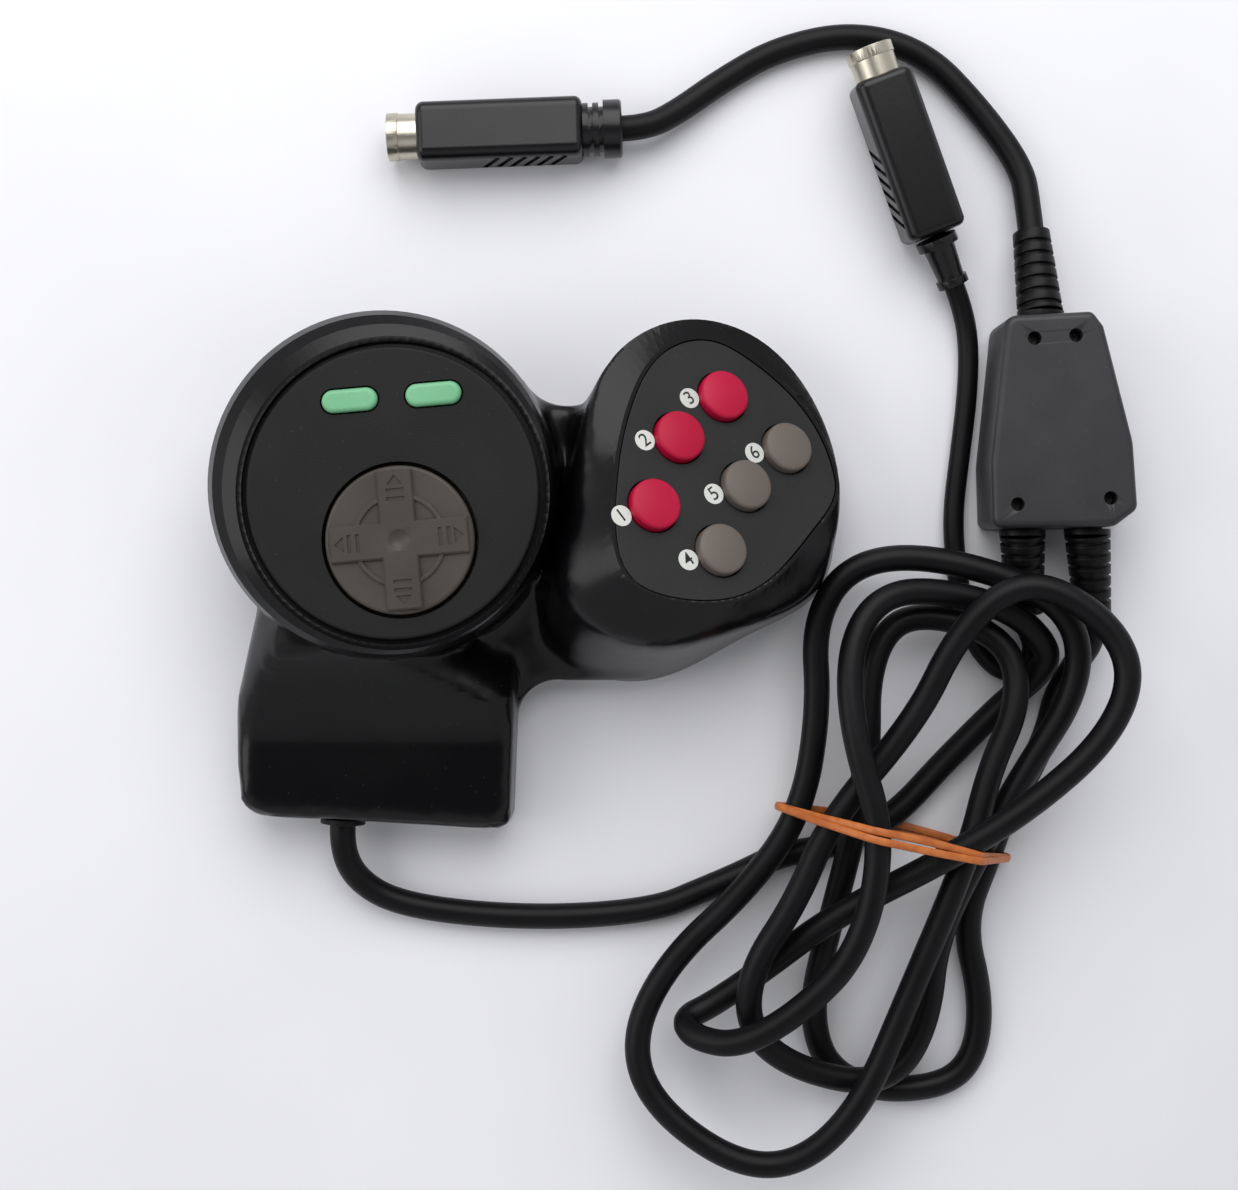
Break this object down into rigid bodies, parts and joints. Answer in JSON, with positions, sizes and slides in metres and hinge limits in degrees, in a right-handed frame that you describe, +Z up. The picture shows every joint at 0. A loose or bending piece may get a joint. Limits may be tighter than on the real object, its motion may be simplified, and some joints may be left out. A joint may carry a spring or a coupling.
{
  "type": "gamepad",
  "caption": "Two-lobed game pad with a tilting direction disc, long keys, round buttons on a leaning face, and a bundled lead that forks at a small box to round plugs.",
  "frame": {"origin": "middle of the pad's footprint, on the surface it rests on; the lead, box and plugs are left out of that measure", "axes": "+X to the player's right, +Y away from the player, +Z up"},
  "size_m": [0.1806, 0.232, 0.0401],
  "materials": {
    "housing": "glossy black",
    "drum_plate": "fine matte",
    "lobe_plate": "fine matte",
    "disc": "satin taupe",
    "pivot": "plain",
    "membrane": "silicone",
    "keys": "satin green",
    "red_button": "satin red",
    "grey_button": "satin warm grey",
    "board": "solder mask",
    "chip": "moulded",
    "connector": "plain",
    "cores": "plain",
    "lead": "satin black",
    "plug_grip": "satin black",
    "plug_metal": "plated",
    "plug_insert": "plain",
    "screw": "plated",
    "tie": "satin brown",
    "box_shell": "glossy black"
  },
  "bodies": {
    "pad": {"board_link": "cores", "board_screws": "screw", "box_board": "board", "box_cores": "cores", "box_lid": "box_shell", "box_screws": "screw", "box_sleeve_a": "lead", "box_sleeve_b": "lead", "box_sleeve_c": "lead", "box_switch_body": "chip", "box_terminals": "connector", "box_tray": "box_shell", "button_board": "board", "button_faceplate": "lobe_plate", "button_membrane": "membrane", "controller_chip": "chip", "dpad_faceplate": "drum_plate", "dpad_membrane": "membrane", "dpad_pivot_post": "pivot", "hank_tie": "tie", "housing_screws": "screw", "key_membrane": "membrane", "lead_cores": "cores", "lead_grommet": "lead", "lead_hank": "lead", "lead_socket": "connector", "lower_housing": "housing", "main_board": "board", "pad_lead": "lead", "plug_1_grip": "plug_grip", "plug_1_insert": "plug_insert", "plug_1_lead": "lead", "plug_1_neck": "lead", "plug_1_pins": "plug_metal", "plug_1_shroud": "plug_metal", "plug_2_grip": "plug_grip", "plug_2_insert": "plug_insert", "plug_2_lead": "lead", "plug_2_neck": "lead", "plug_2_pins": "plug_metal", "plug_2_shroud": "plug_metal", "upper_housing": "housing"},
    "disc_pivot": {"dpad_pivot_ball": "pivot"},
    "disc": {"dpad": "disc"},
    "select_key": {"select_key": "keys"},
    "start_key": {"start_key": "keys"},
    "mode_knob": {"box_switch_knob": "box_shell"},
    "button_1": {"button_1": "red_button"},
    "button_2": {"button_2": "red_button"},
    "button_3": {"button_3": "red_button"},
    "button_4": {"button_4": "grey_button"},
    "button_5": {"button_5": "grey_button"},
    "button_6": {"button_6": "grey_button"}
  },
  "joints": [
    {"name": "disc_tilt_side", "type": "hinge", "parent": "pad", "child": "disc_pivot", "pos_m": [-0.02335, 0.0058, 0.031], "axis": [-0.0872, 0.9962, 0], "range_deg": [-4.5, 4.5], "stiffness_Nm_per_rad": 0.35, "deforming": ["dpad_membrane"]},
    {"name": "disc_tilt_fore", "type": "hinge", "parent": "disc_pivot", "child": "disc", "pos_m": [-0.02335, 0.0058, 0.031], "axis": [0.9962, 0.0872, 0], "range_deg": [-4.5, 4.5], "stiffness_Nm_per_rad": 0.35, "deforming": ["dpad_membrane"]},
    {"name": "select_key_press", "type": "slide", "parent": "pad", "child": "select_key", "axis": [0, 0, -1], "range_m": [0, 0.001], "stiffness_N_per_m": 400, "deforming": ["key_membrane"]},
    {"name": "start_key_press", "type": "slide", "parent": "pad", "child": "start_key", "axis": [0, 0, -1], "range_m": [0, 0.001], "stiffness_N_per_m": 400, "deforming": ["key_membrane"]},
    {"name": "button_1_press", "type": "slide", "parent": "pad", "child": "button_1", "axis": [-0.3872, -0.2918, -0.8746], "range_m": [0, 0.0012], "stiffness_N_per_m": 400, "deforming": ["button_membrane"]},
    {"name": "button_2_press", "type": "slide", "parent": "pad", "child": "button_2", "axis": [-0.3872, -0.2918, -0.8746], "range_m": [0, 0.0012], "stiffness_N_per_m": 400, "deforming": ["button_membrane"]},
    {"name": "button_3_press", "type": "slide", "parent": "pad", "child": "button_3", "axis": [-0.3872, -0.2918, -0.8746], "range_m": [0, 0.0012], "stiffness_N_per_m": 400, "deforming": ["button_membrane"]},
    {"name": "button_4_press", "type": "slide", "parent": "pad", "child": "button_4", "axis": [-0.3872, -0.2918, -0.8746], "range_m": [0, 0.0012], "stiffness_N_per_m": 400, "deforming": ["button_membrane"]},
    {"name": "button_5_press", "type": "slide", "parent": "pad", "child": "button_5", "axis": [-0.3872, -0.2918, -0.8746], "range_m": [0, 0.0012], "stiffness_N_per_m": 400, "deforming": ["button_membrane"]},
    {"name": "button_6_press", "type": "slide", "parent": "pad", "child": "button_6", "axis": [-0.3872, -0.2918, -0.8746], "range_m": [0, 0.0012], "stiffness_N_per_m": 400, "deforming": ["button_membrane"]},
    {"name": "mode_knob_slide", "type": "slide", "parent": "pad", "child": "mode_knob", "axis": [-0.247, 0.969, 0], "range_m": [-0.0015, 0.0015]}
  ]
}
